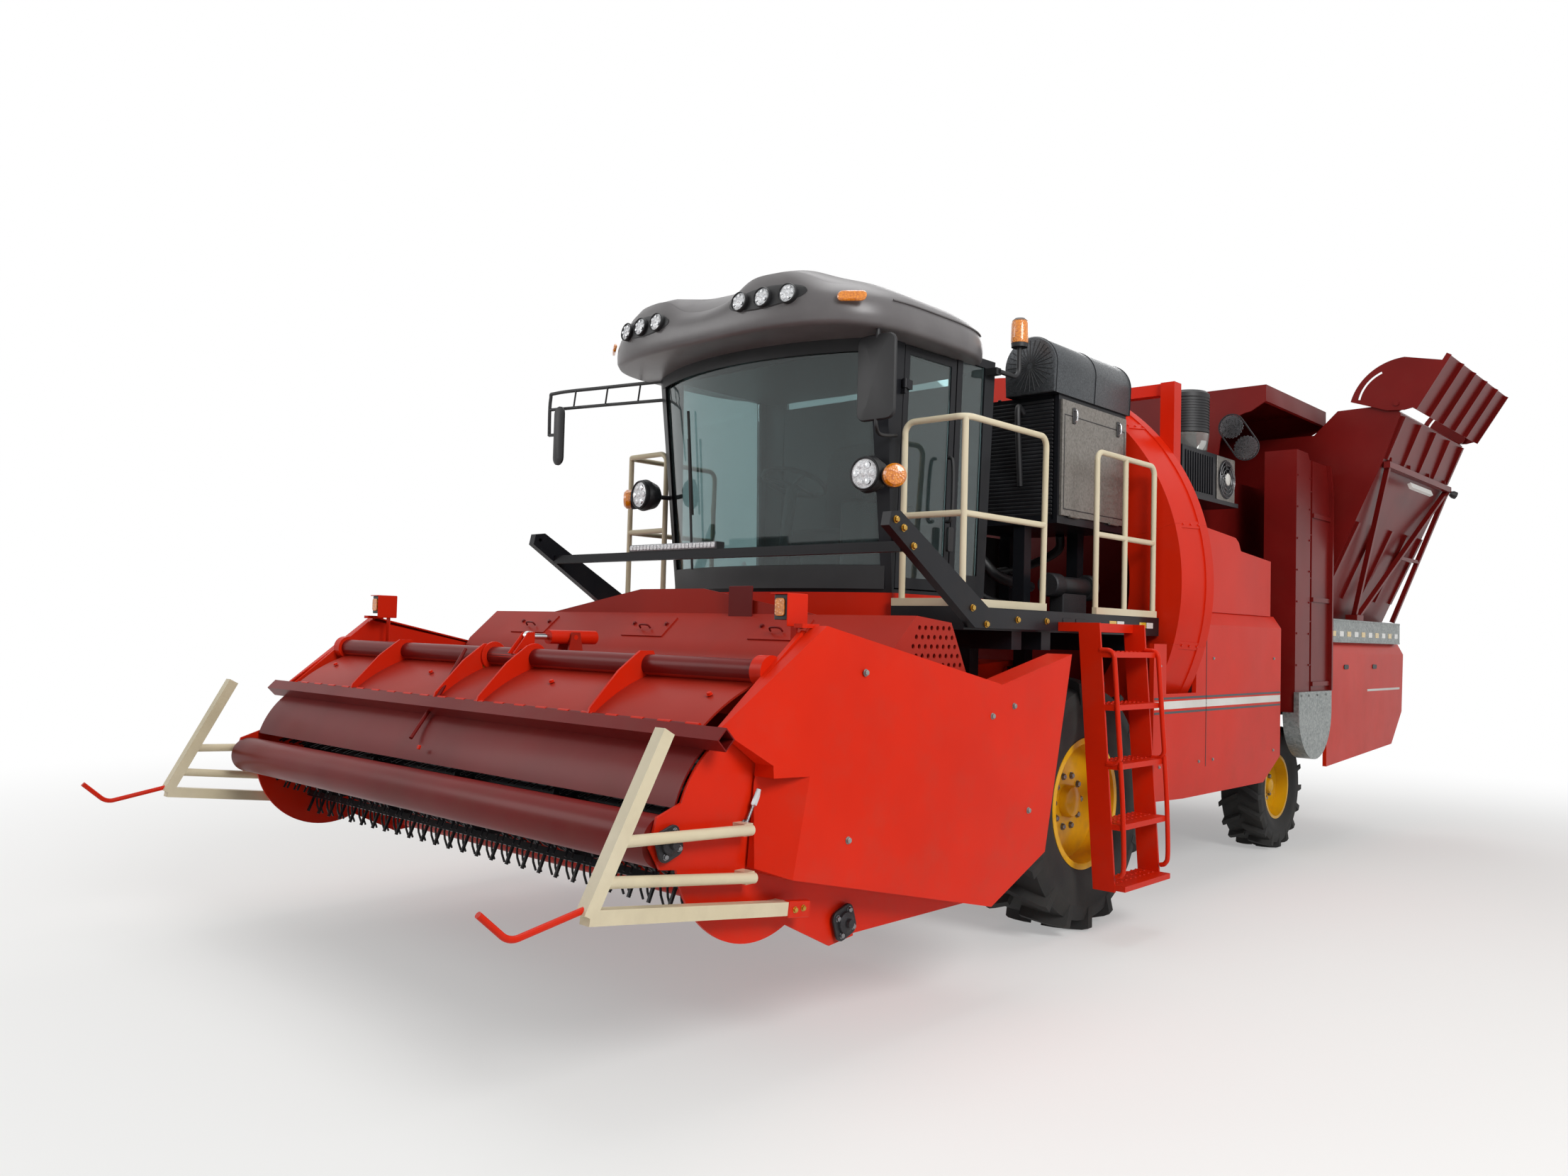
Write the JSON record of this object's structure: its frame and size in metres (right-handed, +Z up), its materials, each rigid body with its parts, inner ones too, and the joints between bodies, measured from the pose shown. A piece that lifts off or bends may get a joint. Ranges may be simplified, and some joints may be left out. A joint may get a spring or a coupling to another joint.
{
  "type": "pepper harvester",
  "caption": "Self-propelled pepper harvester with a tined picking header, glazed cab, lift wheel housing, side elevator and a tipping chute on its bin.",
  "frame": {"origin": "on the ground, in the middle of the footprint", "axes": "+Z up, +Y towards the rear along the machine, +X towards the driver's left, where the ladder is"},
  "size_m": [4.2226, 10.5174, 4.0195],
  "materials": {
    "black": null,
    "chrome": null,
    "cream": null,
    "dark_red": null,
    "fabric": null,
    "galvanised": null,
    "glass": null,
    "iron": null,
    "plastic": null,
    "red": null,
    "roof": null,
    "tyre": null,
    "yellow": null
  },
  "bodies": {
    "machine": {"chassis_frame": "black", "deck_supports": "black", "front_axle": "black", "rear_axle": "black", "cab_base": "red", "cab_shell": "black", "cab_glass": "glass", "cab_roof": "roof", "cab_interior": "fabric", "platform_decks": "black", "guard_rails": "cream", "ladder": "red", "guard_arms": "black", "guard_bar": "black", "engine_block": "iron", "radiator_box": "black", "lift_housing": "red", "side_panels": "red", "rear_panels": "red", "side_tank": "red", "separator": "dark_red", "portal": "black", "cooler": "black", "pre_cleaner": "plastic", "elevator_tower": "dark_red", "elevator_boot": "galvanised", "transfer_hood": "dark_red", "bin_shell": "dark_red", "rear_deck": "galvanised", "unload_truss": "dark_red", "mirrors": "plastic", "lamps": "plastic"},
    "front_wheel_left": {"front_tyre_left": "tyre", "front_rim_left": "yellow"},
    "front_wheel_right": {"front_tyre_right": "tyre", "front_rim_right": "yellow"},
    "rear_wheel_left": {"rear_tyre_left": "tyre", "rear_rim_left": "yellow"},
    "rear_wheel_right": {"rear_tyre_right": "tyre", "rear_rim_right": "yellow"},
    "steering_left": {"knuckle_left": "black"},
    "steering_right": {"knuckle_right": "black"},
    "header": {"header_frame": "red", "feeder_house": "red", "header_hood": "dark_red", "end_shields": "red", "dividers": "cream"},
    "drum_cover": {"drum_cover": "dark_red"},
    "cover_cylinder": {"cover_barrel": "dark_red"},
    "cover_piston": {"cover_rod": "chrome"},
    "tine_drum": {"tine_drum": "black"},
    "front_roller": {"front_roller": "dark_red"},
    "lift_cylinders": {"lift_barrels": "black"},
    "lift_pistons": {"lift_rods": "chrome"},
    "cab_door": {"cab_door": "black", "door_glass": "glass"},
    "radiator_door": {"radiator_door": "black"},
    "unload_flap": {"unload_flap": "red"}
  },
  "joints": [
    {"name": "front_axle_left", "type": "hinge", "parent": "machine", "child": "front_wheel_left", "pos_m": [1.01769, -1.06134, 0.72], "axis": [1, 0, 0], "continuous": true},
    {"name": "front_axle_right", "type": "hinge", "parent": "machine", "child": "front_wheel_right", "pos_m": [-1.49631, -1.06134, 0.72], "axis": [1, 0, 0], "continuous": true},
    {"name": "steer_left", "type": "hinge", "parent": "machine", "child": "steering_left", "pos_m": [0.76069, 2.59866, 0.5], "axis": [0, 0, 1], "range_deg": [-20, 20]},
    {"name": "rear_hub_left", "type": "hinge", "parent": "steering_left", "child": "rear_wheel_left", "pos_m": [0.84069, 2.59866, 0.5], "axis": [1, 0, 0], "continuous": true},
    {"name": "steer_right", "type": "hinge", "parent": "machine", "child": "steering_right", "pos_m": [-1.23931, 2.59866, 0.5], "axis": [0, 0, 1], "range_deg": [-20, 20]},
    {"name": "rear_hub_right", "type": "hinge", "parent": "steering_right", "child": "rear_wheel_right", "pos_m": [-1.31931, 2.59866, 0.5], "axis": [1, 0, 0], "continuous": true},
    {"name": "header_lift", "type": "hinge", "parent": "machine", "child": "header", "pos_m": [-0.23931, -0.21134, 1.4], "axis": [-1, 0, 0], "range_deg": [-5, 5]},
    {"name": "lift_cylinder_swing", "type": "hinge", "parent": "machine", "child": "lift_cylinders", "pos_m": [-0.23931, -1.32134, 0.64], "axis": [1, 0, 0], "range_deg": [-12, 12]},
    {"name": "lift_piston_slide", "type": "slide", "parent": "lift_cylinders", "child": "lift_pistons", "axis": [0, -0.9973, -0.0732], "range_m": [-0.12, 0.12]},
    {"name": "cover_hinge", "type": "hinge", "parent": "header", "child": "drum_cover", "pos_m": [-0.23931, -3.96134, 1.5], "axis": [-1, 0, 0], "range_deg": [0, 18]},
    {"name": "cover_cylinder_swing", "type": "hinge", "parent": "header", "child": "cover_cylinder", "pos_m": [-0.17931, -3.68134, 1.6], "axis": [1, 0, 0], "range_deg": [-8, 8]},
    {"name": "cover_piston_slide", "type": "slide", "parent": "cover_cylinder", "child": "cover_piston", "axis": [0, -1, 0], "range_m": [-0.04, 0.01]},
    {"name": "drum_spin", "type": "hinge", "parent": "header", "child": "tine_drum", "pos_m": [-0.23931, -4.03134, 0.91], "axis": [1, 0, 0], "continuous": true},
    {"name": "roller_spin", "type": "hinge", "parent": "header", "child": "front_roller", "pos_m": [-0.23931, -4.48134, 0.92], "axis": [1, 0, 0], "continuous": true},
    {"name": "cab_door_hinge", "type": "hinge", "parent": "machine", "child": "cab_door", "pos_m": [0.68569, -2.15634, 2.15], "axis": [0, 0, -1], "range_deg": [0, 51.5]},
    {"name": "radiator_door_hinge", "type": "hinge", "parent": "machine", "child": "radiator_door", "pos_m": [0.91069, -0.44134, 2.41], "axis": [0, 1, 0], "range_deg": [0, 24]},
    {"name": "unload_flap_hinge", "type": "hinge", "parent": "machine", "child": "unload_flap", "pos_m": [1.71069, 4.13866, 3.65], "axis": [0, -1, 0], "range_deg": [0, 70]}
  ],
  "couplings": [
    {"joint": "steer_right", "follows": "steer_left", "ratio": 1},
    {"joint": "lift_cylinder_swing", "follows": "header_lift", "ratio": -2.0596},
    {"joint": "lift_piston_slide", "follows": "header_lift", "m_per_rad": 0.67026},
    {"joint": "cover_cylinder_swing", "follows": "cover_hinge", "ratio": 0.25966},
    {"joint": "cover_piston_slide", "follows": "cover_hinge", "m_per_rad": -0.08989}
  ]
}
